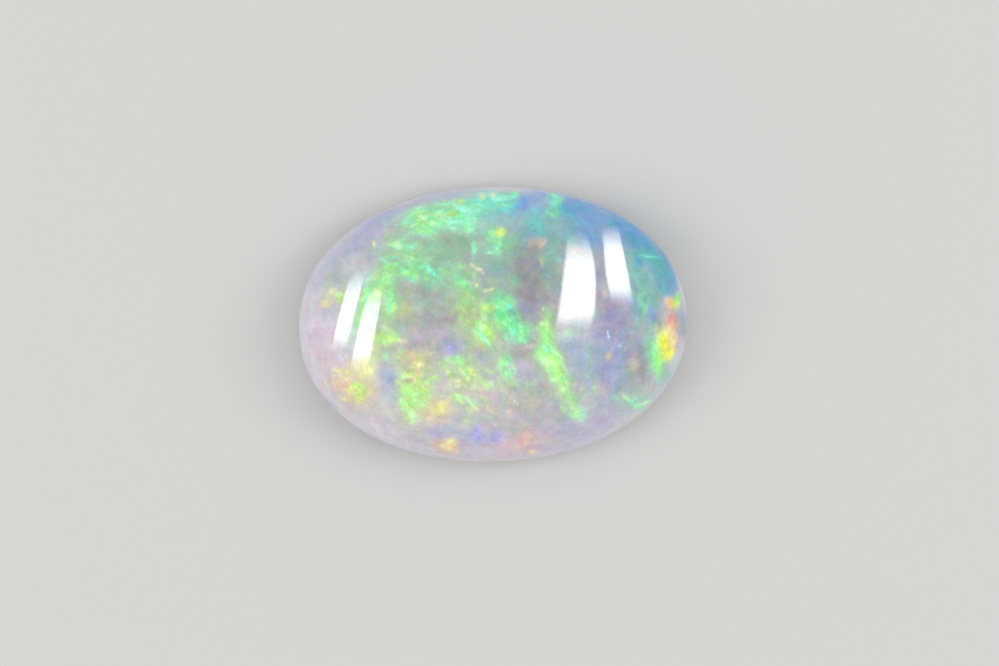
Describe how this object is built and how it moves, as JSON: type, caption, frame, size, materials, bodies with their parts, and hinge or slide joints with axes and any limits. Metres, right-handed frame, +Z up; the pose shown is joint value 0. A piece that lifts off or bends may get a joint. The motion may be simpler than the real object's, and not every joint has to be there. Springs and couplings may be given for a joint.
{
  "type": "oval opal cabochon",
  "caption": "Polished oval opal cabochon: a milky domed stone with green, blue and amber play-of-colour, a narrow girdle and a flat base for setting.",
  "frame": {"origin": "middle of the flat base", "axes": "+Z up through the top of the dome, +X along the stone's length, +Y across its width"},
  "size_m": [0.014, 0.01, 0.0045],
  "materials": {
    "opal": "polished"
  },
  "bodies": {
    "root": {"cabochon": "opal"}
  },
  "joints": []
}
